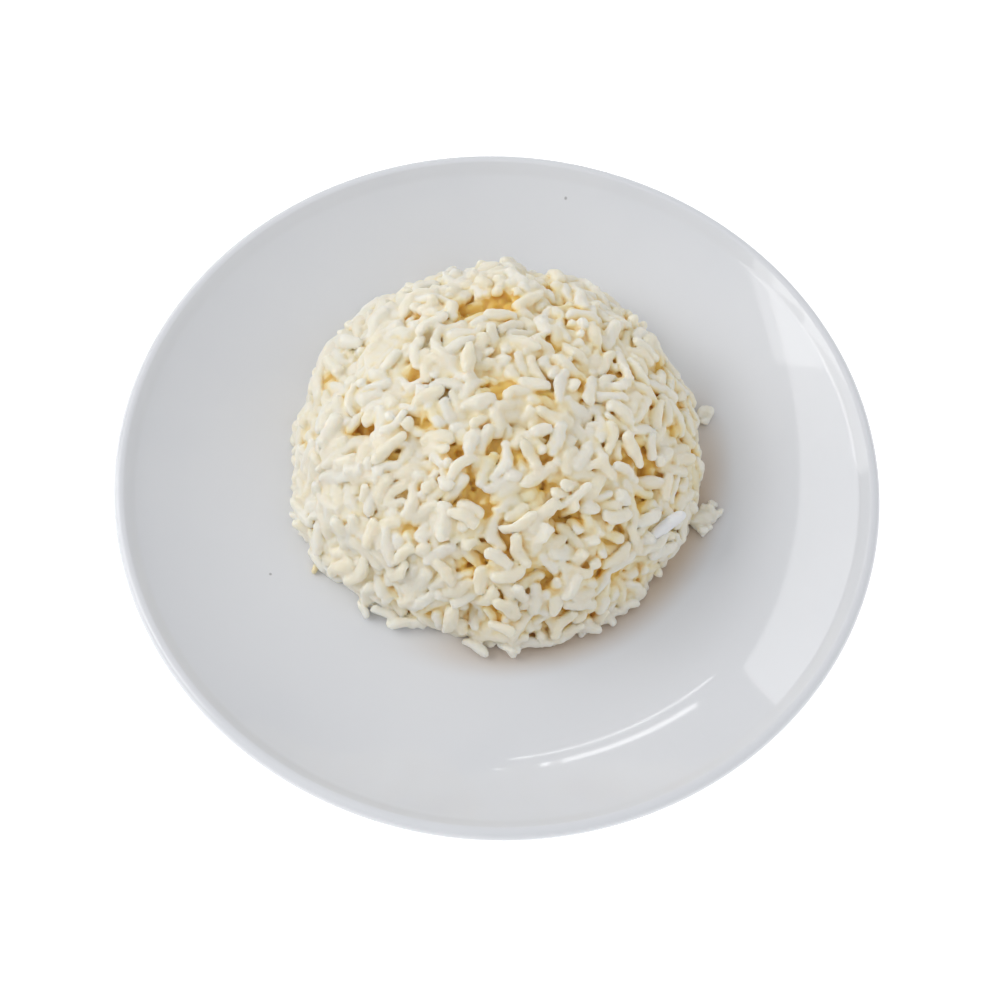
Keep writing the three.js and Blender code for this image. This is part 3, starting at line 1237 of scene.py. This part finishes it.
def skin(block: Array, grid: Grid) -> tuple[Array, Array]:
    """The surface where a block passes from below 0 to above, with one point for each crossed cell.

    Args:
        block: numbers on the grid, below 0 inside.
        grid: the grid.

    Returns:
        The surface's points and its quads, which face outwards.
    """
    corners = np.array(list(np.ndindex(2, 2, 2)))
    size = [n - 1 for n in block.shape]
    inside = block < 0
    total = np.zeros(size, np.int8)
    for dx, dy, dz in corners:
        total += inside[dx : dx + size[0], dy : dy + size[1], dz : dz + size[2]]
    cells = np.argwhere((total > 0) & (total < 8))
    name = np.full(size, -1, np.int64)
    name[tuple(cells.T)] = np.arange(len(cells))
    values = np.stack([block[tuple((cells + corner).T)] for corner in corners], 1)
    place = np.zeros((len(cells), 3))
    crossings = np.zeros(len(cells))
    for a, b in ((i, j) for i in range(8) for j in range(i + 1, 8)):
        if np.abs(corners[a] - corners[b]).sum() != 1:
            continue
        crossed = (values[:, a] < 0) != (values[:, b] < 0)
        share = values[crossed, a] / (values[crossed, a] - values[crossed, b])
        place[crossed] += corners[a] + share[:, None] * (corners[b] - corners[a])
        crossings[crossed] += 1
    points = grid.low + grid.step * (cells + place / crossings[:, None])
    return points, skin_quads(inside, name)


def skin_quads(inside: Array, name: Array) -> Array:
    """Joins the points of a surface into quads, one round each crossed edge of the grid.

    Args:
        inside: which of the grid's points lie inside.
        name: the number of each cell's point.

    Returns:
        The quads, which face outwards.
    """
    quads = []
    size = name.shape
    for axis in range(3):
        one, two = np.eye(3, dtype=int)[(axis + 1) % 3], np.eye(3, dtype=int)[(axis + 2) % 3]
        ahead = np.eye(3, dtype=int)[axis]
        low = inside[tuple(slice(0, n - d) for n, d in zip(inside.shape, ahead))]
        high = inside[tuple(slice(d, n) for n, d in zip(inside.shape, ahead))]
        for leaves in (True, False):
            edges = np.argwhere(low & ~high if leaves else ~low & high)
            edges = edges[(edges[:, (axis + 1) % 3] > 0) & (edges[:, (axis + 2) % 3] > 0)]
            edges = edges[(edges < size).all(1)]
            ring = [edges - one - two, edges - two, edges, edges - one]
            ring = ring if leaves else ring[::-1]
            quads.append(np.stack([name[tuple(cell.T)] for cell in ring], 1))
    return np.concatenate(quads)


@dataclass
class RiceMound:
    """The moulded dome of rice, whose grains have melted together into one body over its core.

    A smooth random field, the openness, says where the grains stand apart round open valleys and
    where they have fused: melt is how crisp and full how bare the creases are from fused to open,
    and valley how much deeper the open places lie. Pits and the front right are the most open.
    """

    plate: CoupePlate
    wall: MouldWall = field(default_factory=MouldWall)
    finish: CookedRice = field(default_factory=CookedRice)
    loose: CookedRice = CookedRice(white=(0.93, 0.93, 0.92), soak=(1.0, 0.94, 0.85), soak_depth=0.35)
    step: float = 0.45
    side_room: float = 9.0
    headroom: float = 4.0
    lowest: float = -1.5
    shell: tuple[float, float] = (-4.0, 9.0)
    melt: tuple[float, float] = (4.4, 9.0)
    full: tuple[float, float] = (0.6, 0.88)
    valley: float = 1.9
    valley_width: float = 9.5
    open_from: tuple[float, float] = (0.0, 1.5)
    fused_from: tuple[float, float] = (-1.1, 0.5)
    open_front: float = 0.5
    open_pit: float = 0.9
    pit_reach: float = 5.5
    pit_ragged: float = 0.6
    pit_ragged_length: float = 3.2
    core_depth: float = 1.75
    core_tone: float = 0.5
    shrink: float = 0.1
    ends: float = 0.8
    round_end: float = 2.6
    slim_end: float = 0.14
    crooked: float = 0.2
    crook_length: float = 6.5
    ragged: float = 0.09
    ragged_length: float = 2.0
    fill: float = 2.6
    sharpness: float = 5.0
    plate_share: float = 0.4
    margin: float = 2.2
    clearance: float = 0.03
    most_faces: int = 196000
    # the golden mark is partly butter, partly painted shade in hollows and creases
    butter_and_shade: float = 0.11
    pale_depth: float = 1.0
    golden_depth: float = 4.5
    level_share: float = 0.65
    # painted shade: how much warmer and darker the creases that rice hems in turn
    crease_shade: float = 1.6
    crease_shade_from: float = 0.51
    # painted shade: more golden towards the right and front right, away from the window
    side_shade: float = 0.2
    side_shade_front: float = 0.3
    pit_butter: float = 0.75
    pit_soaks: float = 1.6
    foot_dry: float = 0.3
    foot_height: float = 7.0
    # painted light: how much paler the front is
    front_painted_light: float = 0.14
    clump_lift: float = 1.2
    clumps: tuple[tuple[float, float, float, int], ...] = ((55.8, 16.6, 1.0, 6), (55.6, -14.6, 2.0, 18))
    fringe: tuple[tuple[float, float, float], ...] = (
        (-45, 0.1, 80),
        (-54, 0.2, 105),
        (-62, 0.1, 75),
        (-71, 0.2, 110),
        (-79, 0.4, 80),
        (-87, 0.3, 50),
        (-111, 0.3, 105),
        (-117, 1.0, 70),
        (-149, -0.4, 100),
        (131, -0.6, 65),
        (78, 0.5, 110),
        (52, 0.3, 80),
    )
    far_pits: int = 34
    seed: int = 77

    def pits(self) -> tuple[Pit, ...]:
        """The open gaps of the shown side, and seeded ones for the rest.

        Returns:
            The pits.
        """
        return (
            Pit((-6.6, 27.6, 37.2), 4.3, 2.3, 8.5, 10, 2.2),
            Pit((-52.6, 9.0, 14.5), 1.0, 1.1, 4.0, 10),
            Pit((-0.9, -0.2, 42.6), 1.1, 0.9, 5.5),
            Pit((10.7, -1.7, 41.8), 1.2),
            Pit((20.5, 3.9, 39.5), 0.9),
            Pit((-36.4, -9.4, 31.6), 1.8, 1.3, 4.0),
            Pit((-19.1, -10.7, 39.2), 1.9),
            Pit((-10.1, -19.4, 39.2), 2.3, 1.9),
            Pit((-1.4, -17.6, 40.4), 1.3),
            Pit((5.0, -19.0, 39.9), 1.1),
            Pit((12.6, -25.5, 36.7), 1.7),
            Pit((-6.1, -28.1, 36.5), 1.6, 1.2, 4.0, 80),
            Pit((-1.5, -32.5, 34.7), 1.6),
            Pit((20.0, -31.5, 31.8), 1.4, 1.1, 4.0),
            Pit((39.4, -13.6, 28.5), 2.0),
            Pit((37.9, -22.7, 26.2), 1.8, 1.8),
            Pit((29.0, -40.8, 19.2), 2.2),
            Pit((4.5, -40.5, 29.2), 1.7),
            Pit((-1.8, -42.9, 27.3), 1.9),
            Pit((-21.6, -36.0, 28.2), 1.0),
            Pit((11.9, 14.7, 40.1), 1.5),
            Pit((26.4, 17.7, 35.1), 1.0),
            Pit((-27.1, -18.8, 34.4), 1.1),
            Pit((17.1, -33.6, 31.5), 1.3),
            Pit((35.0, -38.6, 15.5), 1.5),
            *self._far_pits(),
        )

    def _far_pits(self) -> list[Pit]:
        """Seeded gaps all round the mound.

        Returns:
            The pits.
        """
        draw = np.random.default_rng(self.seed)
        made = []
        for _ in range(self.far_pits):
            angle = draw.uniform(0, 2 * math.pi)
            up = draw.uniform(0.12, 0.97)
            out = math.sqrt(1 - up * up) * self.wall.radius
            place = (out * math.cos(angle), out * math.sin(angle), up * self.wall.height)
            made.append(Pit(place, draw.uniform(0.9, 1.9), draw.uniform(0.8, 1.4), facing=0.0))
        return made

    def _set_grains(self) -> list[SetGrain]:
        """The grains that lie round the mound's foot, and the three that are placed one by one.

        Returns:
            The whiter grain, the one that joins a clump to the mound, the golden scrap, and the rest.
        """
        draw = np.random.default_rng(self.seed + 9)
        whiter = SetGrain((45.2, -25.0, 18.4), (0.75, 0.6, 0.2), 11.6, 3.6, bend=0.5, tone=1.6, soaked=-0.4)
        joining = SetGrain((53.4, -13.6, 2.6), (1.0, -0.3, -0.1), 7.0, 2.8, bend=0.3, tone=0.2)
        scrap = SetGrain((-45.4, -36.6, 1.4), (0.3, 0.92, 0.1), 3.4, 2.0, tone=0.4, soaked=0.5)
        return [
            replace(whiter, kind=GrainKind.WHOLE),
            joining,
            replace(scrap, kind=GrainKind.BROKEN),
            *self._fringe_grains(draw),
            *self._clump_grains(draw),
        ]

    def _fringe_grains(self, draw: np.random.Generator) -> list[SetGrain]:
        """Grains in threes that stick out of the mound's foot.

        Args:
            draw: the source of their variety.

        Returns:
            The grains.
        """
        made = []
        for angle, out, heading in self.fringe:
            for spread in (-5, 0, 5):
                turn = math.radians(angle + spread + draw.normal(0, 1.5))
                way = turn + math.radians(heading + draw.normal(0, 45))
                outline = self.wall.reach(np.array([math.cos(turn), math.sin(turn), self.wall.tuck_height]))
                r = float(outline) + out - draw.uniform(1.2, 3.2)
                middle = np.array([r * math.cos(turn), r * math.sin(turn), 0.0])
                middle[2] = self.floor(middle) + draw.uniform(1.4, 3.0)
                along = (math.cos(way), math.sin(way), draw.normal(0, 0.25))
                length, width = draw.uniform(6, 9), draw.uniform(2.7, 3.2)
                made.append(SetGrain(tuple(middle), along, length, width, bend=0.5, tone=0.9))
        return made

    def _clump_grains(self, draw: np.random.Generator) -> list[SetGrain]:
        """Clumps of broken grains beside the mound, each round a larger one.

        Args:
            draw: the source of their variety.

        Returns:
            The grains.
        """
        made = []
        for x, y, spread, number in self.clumps:
            low = float(self.floor(np.array([x, y, 0.0]))) + self.clump_lift
            made.append(SetGrain((x, y, low), (1, 0.4, 0), 3.6 * spread, 2.6 * spread))
            for _ in range(number):
                middle = np.array([x, y, 0.0]) + draw.normal(0, 1, 3) * (spread, spread, 0.9)
                middle[2] = self.floor(middle) + self.clump_lift + abs(middle[2])
                length, width = draw.uniform(2.8, 3.8), draw.uniform(2.2, 2.8)
                along = unit(draw.normal(size=3) * (1, 1, 0.6))
                made.append(SetGrain(tuple(middle), tuple(along), length, width, bend=0.3))
        return made

    def _with_set(self, grains: Grains) -> Grains:
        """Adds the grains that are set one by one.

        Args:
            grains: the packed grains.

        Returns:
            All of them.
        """
        extra = self._set_grains()
        along = unit(np.array([one.along for one in extra]))
        middle = np.array([one.middle for one in extra])
        across = unit(np.cross(self.wall.outward(middle), along))
        number = len(extra)
        added = Grains(
            middle=middle,
            along=along,
            across=across,
            rise=np.cross(along, across),
            length=np.array([one.length for one in extra]),
            width=np.array([one.width for one in extra]),
            flat=np.full(number, 0.84),
            bend=np.array([[one.bend, 0.0] for one in extra]),
            taper=np.full(number, 0.05),
            blunt=np.full((number, 2), 3.4),
            tone=np.array([one.tone for one in extra]),
            soaked=np.array([one.soaked for one in extra]),
            kind=np.array([one.kind for one in extra]),
        )
        pairs = zip(vars(grains).values(), vars(added).values())
        return Grains(*(np.concatenate(pair) for pair in pairs))

    def build(self) -> list[bpy.types.Object]:
        """Packs the grains and makes the pieces.

        Returns:
            The pieces, the melted body first.
        """
        material, loose = self.finish.material(), self.loose.material()
        packing = Packing(self.wall, self.plate, self.pits())
        grains = self._with_set(packing.pack())
        self.level = packing.level
        self.open_pits = packing.pits
        self._survey(grains.some(grains.kind == GrainKind.MELTED))
        pieces = [self._body(material)]
        for kind in (GrainKind.WHOLE, GrainKind.BROKEN):
            pieces.append(self._grains(GrainMaker(), grains.some(grains.kind == kind), kind, loose))
        return pieces

    def _survey(self, grains: Grains) -> None:
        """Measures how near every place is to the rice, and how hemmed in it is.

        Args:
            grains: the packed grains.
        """
        side = self.wall.radius + self.side_room
        top = self.wall.height + self.headroom
        self.grid = Grid((-side, -side, self.lowest), (side, side, top), self.step)
        points = self.grid.points([slice(0, size) for size in self.grid.shape])
        depth = self.wall.depth(points)
        near_skin = (depth > self.shell[0]) & (depth < self.shell[1])
        outer = points[near_skin]
        self.pooled = self._pooled(points)
        openness = self._openness(outer, self.pooled[near_skin])
        depth[near_skin] -= self.level(outer) + self.valley * eased(openness, *self.open_from)
        apart = np.ones(depth.shape)
        apart[near_skin] = eased(openness, *self.fused_from)
        melt = self.melt[0] + (self.melt[1] - self.melt[0]) * apart
        full = self.full[0] + (self.full[1] - self.full[0]) * apart
        self.crook = np.zeros(points.shape, np.float32)
        self.crook[near_skin] = self._crook(outer)
        gap = self._melted(grains, melt, np.maximum(self.core_depth - depth, self.pooled))
        gap[near_skin] += self.ragged * Waves(self.ragged_length, self.seed + 6, 24).at(outer)
        self._fill(gap, points, melt, full)

    def _openness(self, outer: Array, pooled: Array) -> Array:
        """How far apart the grains stand: in random patches, more at the front right and in pits.

        Args:
            outer: the grid's points near the skin.
            pooled: how deep they lie in a pit.

        Returns:
            The openness there, about -2 to 3.
        """
        front = self.open_front * (outer[:, 0] - outer[:, 1]) / self.wall.radius
        openness = Waves(self.valley_width, self.seed + 8).at(outer) + front
        return openness + self.open_pit * np.clip(1 + pooled / self.pit_reach, 0, 1)

    def _crook(self, outer: Array) -> Array:
        """How far the points near the skin are shifted, which makes straight grains crooked."""
        waves = [Waves(self.crook_length, self.seed + 20 + axis, 14).at(outer) for axis in range(3)]
        return self.crooked * np.stack(waves, -1)

    def _melted(self, grains: Grains, melt: Array, core: Array) -> Array:
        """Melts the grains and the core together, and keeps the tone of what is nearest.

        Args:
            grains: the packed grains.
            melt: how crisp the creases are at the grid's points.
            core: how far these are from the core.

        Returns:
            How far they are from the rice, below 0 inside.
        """
        near = np.exp(-melt * np.clip(core, -4, 20))
        tone = near * self.core_tone
        for i in range(len(grains.middle)):
            part, away = self._apart(grains, i)
            weight = np.exp(-melt[part] * np.clip(away, -4, 6))
            near[part] += weight
            tone[part] += weight * grains.tone[i]
        self.tone = (tone / near).astype(np.float32)
        return (self.shrink - np.log(near)) / melt

    def _fill(self, gap: Array, points: Array, melt: Array, full: Array) -> None:
        """Fills the creases that rice hems in, outside the pits, and ends the rice at the plate.

        Args:
            gap: how far the grid's points are from the rice.
            points: the points.
            melt: how crisp the creases are there.
            full: how hemmed in a crease has to be before it is filled.
        """
        floor = self.floor(points) + self.clearance
        solid = 1 / (1 + np.exp(np.clip(gap * self.sharpness, -20, 20)))
        solid[points[..., 2] < floor] = self.plate_share
        self.hemmed = soften(solid, 2).astype(np.float32)
        filled = np.maximum((full - self.hemmed) * self.fill, self.pooled)
        gap = -np.logaddexp(-melt * gap, -melt * filled) / melt
        self.gap = np.maximum(gap, floor - points[..., 2])

    def _pooled(self, points: Array) -> Array:
        """How deep the grid's points lie in the nearest pit.

        Args:
            points: the grid's points.

        Returns:
            The depths, below 0 outside.
        """
        pooled = np.full(points.shape[:3], -self.pit_reach)
        for pit in self.open_pits:
            bottom, run, rise = self.wall.gap(pit)
            reach = np.abs(run) + np.abs(rise) + pit.size + self.pit_reach
            part, near = self.grid.around(bottom - reach, bottom + reach)
            near = near - bottom
            share = np.clip(near @ run / max(run @ run, TINY), -1, 1)
            up = np.clip(near @ rise / (rise @ rise), 0, 1)
            away = np.linalg.norm(near - share[..., None] * run - up[..., None] * rise, axis=-1)
            ragged = self.pit_ragged * Waves(self.pit_ragged_length, self.seed + 7, 20).at(near)
            pooled[part] = np.maximum(pooled[part], pit.size - away + ragged)
        return pooled

    def _apart(self, grains: Grains, i: int) -> tuple[tuple[slice, ...], Array]:
        """How far the grid's points round one grain are from it.

        Args:
            grains: the grains.
            i: which of them.

        Returns:
            The part of the grid round it, and the distances there, below 0 inside.
        """
        half = (grains.length[i] - self.ends * grains.width[i]) / 2
        reach = np.abs(grains.along[i]) * half + grains.width[i] / 2 + self.margin
        part, points = self.grid.around(grains.middle[i] - reach, grains.middle[i] + reach)
        gap = points + self.crook[part] - grains.middle[i]
        run = gap @ grains.along[i]
        t = np.clip(run / half, -1, 1)
        bow = bow_of(t)
        side = gap @ grains.across[i] - grains.bend[i, 0] * bow
        lift = (gap @ grains.rise[i] - grains.bend[i, 1] * bow) / grains.flat[i]
        end = (run - t * half) * np.where(t < 0, *grains.blunt[i]) / self.round_end
        apart = np.sqrt(end**2 + side**2 + lift**2)
        return part, apart - grains.width[i] / 2 * (1 - self.slim_end * t * t + grains.taper[i] * t)

    def _body(self, material: bpy.types.Material) -> bpy.types.Object:
        """The rice that has melted together, as one closed body.

        Args:
            material: its finish.

        Returns:
            The piece.
        """
        points, quads = skin(self.gap, self.grid)
        log.info("skin of %d quads", len(quads))
        points, faces = thinned(points, quads, self.most_faces)
        made = make_mesh(GrainKind.MELTED.value, self._set_down(points), (faces,), self._marks(points))
        dress(made, material, "rice_mound")
        return made

    def _grains(
        self, maker: GrainMaker, grains: Grains, kind: GrainKind, material: bpy.types.Material
    ) -> bpy.types.Object:
        """Makes the piece of one kind of grain.

        Args:
            maker: what shapes the grains.
            grains: the grains.
            kind: their kind.
            material: their finish.

        Returns:
            The piece.
        """
        corners = maker.bodies(grains)
        number, each = corners.shape[:2]
        points = corners.reshape(-1, 3)
        marks = self._marks(points)
        marks["tone"] = np.repeat(grains.tone, each)
        marks["butter_and_shade"] += np.repeat(grains.soaked, each)
        made = make_mesh(kind.value, self._set_down(points), maker.faces(number), marks)
        dress(made, material, "rice_mound")
        return made

    def _marks(self, points: Array) -> dict[str, Array]:
        """How golden each point is, from butter, painted shade and painted light; and how white.

        Args:
            points: places on the rice.

        Returns:
            Both numbers, by name.
        """
        depth = self.wall.depth(points) - self.level_share * self.level(points)
        hemmed = self.grid.read(self.hemmed, points) - self.crease_shade_from
        # painted shade: more golden and darker towards the right and front right, the side the window leaves
        # in shade
        shaded_side = self.side_shade * (points[:, 0] - self.side_shade_front * points[:, 1]) / self.wall.radius
        pooled = np.clip(self.grid.read(self.pooled, points) / self.pit_reach + 1, 0, 1) ** 2
        # partly butter, partly painted shade: the deeper under the heap's surface, the more golden
        butter_and_shade = self.butter_and_shade + (depth - self.pale_depth) / self.golden_depth
        # painted shade: hemmed creases go warmer and darker
        butter_and_shade += self.crease_shade * hemmed + shaded_side
        butter_and_shade += self.pit_butter * pooled * np.clip(depth / self.pit_soaks, 0, 1)
        butter_and_shade -= self.foot_dry * np.clip(1 - points[:, 2] / self.foot_height, 0, 1)
        # painted light: paler towards the front
        butter_and_shade -= self.front_painted_light * np.clip(-points[:, 1] / self.wall.radius, 0, 1)
        return {"butter_and_shade": np.clip(butter_and_shade, 0, 1.2), "tone": self.grid.read(self.tone, points)}

    def _set_down(self, points: Array) -> Array:
        """Moves points from the mound's own centre to their place on the plate.

        Args:
            points: places on the rice.

        Returns:
            The same places on the plate, none of them below its top.
        """
        lowest = self.floor(points) + self.clearance
        raised = np.column_stack([points[:, :2], np.maximum(points[:, 2], lowest)])
        return raised + np.array([*self.wall.centre, self.plate.floor])

    def floor(self, points: Array) -> Array:
        """Height of the plate's top under each point."""
        return self.plate.under(points, self.wall.centre)


# The studio


@dataclass
class Studio:
    """Pale floor, soft window light from the left, and the camera."""

    distance: float = 600.0
    elevation: float = 63.377
    roll: float = 4.251
    target: tuple[float, float, float] = (0.890, -7.612, 21.0)
    lens: float = 82.97
    sensor: float = 36.0
    sky: Colour = (0.97, 0.98, 1.0)
    horizon: float = 0.42
    overhead: float = 0.24
    leaning: tuple[float, float] = (0.3, -0.165)
    window: float = 2.0
    pane: float = 1.9
    low_window: float = 2.15
    strip: float = 6.0
    floor_glow: float = 0.6
    bounces: int = 8

    def camera(self) -> None:
        """Sets the camera at the photograph's angle."""
        tip = math.radians(self.elevation)
        turn = math.radians(self.roll)
        forward = Vector((0, math.cos(tip), -math.sin(tip)))
        right = Vector((1, 0, 0))
        up = right.cross(forward)
        side = math.cos(turn) * right + math.sin(turn) * up
        top = math.cos(turn) * up - math.sin(turn) * right
        place = (Vector(self.target) - forward * self.distance) * MM
        data = bpy.data.cameras.new("camera")
        data.lens = self.lens
        data.sensor_width = self.sensor
        made = bpy.data.objects.new("camera", data)
        axes = Matrix((side, top, -forward)).transposed().to_4x4()
        made.matrix_world = Matrix.Translation(place) @ axes
        bpy.context.scene.collection.objects.link(made)
        bpy.context.scene.camera = made

    def _panel(self, name: str, place: Vector, way: Vector, size: tuple[float, float], glow: float) -> None:
        """Adds a flat light.

        Args:
            name: its name.
            place: its middle, in metres.
            way: the direction that it faces.
            size: its width and height in metres.
            glow: the radiance of its face.
        """
        data = bpy.data.lights.new(name, "AREA")
        data.shape = "RECTANGLE"
        data.size, data.size_y = size
        data.energy = glow * math.pi * size[0] * size[1]
        made = bpy.data.objects.new(name, data)
        made.location = place
        made.rotation_euler = way.to_track_quat("-Z", "Y").to_euler()
        bpy.context.scene.collection.objects.link(made)

    def light(self) -> None:
        """Adds the window, its brightest pane, two strips of sky at the back and the room's own light."""
        level, slanting = Vector((1, 0, 0)), Vector((0.7, -0.7, -0.42))
        panels = (
            ("window", (-1.6, 1.15, 1.56), level, (3.7, 1.13), self.window),
            ("bright_pane", (-1.59, -0.1, 1.75), level, (0.8, 1.1), self.pane),
            ("low_window", (-1.8, 0.32, 0.81), Vector((1.8, -0.32, -0.81)), (1.0, 1.15), self.low_window),
            ("low_strip", (-0.36, 1.97, 1.1), slanting, (0.81, 0.05), self.strip),
            ("high_strip", (-0.4, 1.86, 1.23), slanting, (0.81, 0.02), self.strip),
        )
        for name, place, way, size, glow in panels:
            self._panel(name, Vector(place), way, size, glow)
        self._room()

    def _room(self) -> None:
        """Lights the room itself, most from overhead."""
        shader = Shader(bpy.data.worlds.new("room"))
        way = shader.node("ShaderNodeTexCoord", {}, {}).outputs["Generated"]
        slope = shader.vector("DOT_PRODUCT", way, (*self.leaning, self.overhead))
        glow = Value(shader, slope.outputs["Value"]) + self.horizon
        sky = shader.node("ShaderNodeBackground", {}, {"Color": (*self.sky, 1.0), "Strength": glow})
        shader.node("ShaderNodeOutputWorld", {}, {"Surface": sky.outputs[0]})
        bpy.context.scene.world = shader.owner

    def floor(self) -> None:
        """Lays the pale floor."""
        half = 4000.0
        points = np.array([[-half, -half, 0], [half, -half, 0], [half, half, 0], [-half, half, 0]])
        made = make_mesh("pale_floor", points, (np.array([[0, 1, 2, 3]]),), {})
        shader = Shader(bpy.data.materials.new("pale_floor"))
        glow = {"Emission Color": (1.0, 1.0, 1.0, 1.0), "Emission Strength": self.floor_glow}
        shade = shader.noise(size=400.0, detail=1.0) * 0.02
        tone = shader.blend(shade, (0.85, 0.85, 0.85), (0.8, 0.8, 0.8))
        made.data.materials.append(shader.finish({"Base Color": tone, "Roughness": 0.9, **glow}))

    def build(self) -> None:
        """Sets up floor, lights, camera and the plain colour handling."""
        self.camera()
        self.floor()
        self.light()
        scene = bpy.context.scene
        scene.view_settings.view_transform = "Standard"
        scene.cycles.diffuse_bounces = self.bounces


def main() -> None:
    """Builds the portion and its studio."""
    plate = CoupePlate()
    log.info("solids: %s", ", ".join(sorted(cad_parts)))
    plate.build()
    RiceMound(plate).build()
    Studio().build()


if __name__ == "__main__":
    main()
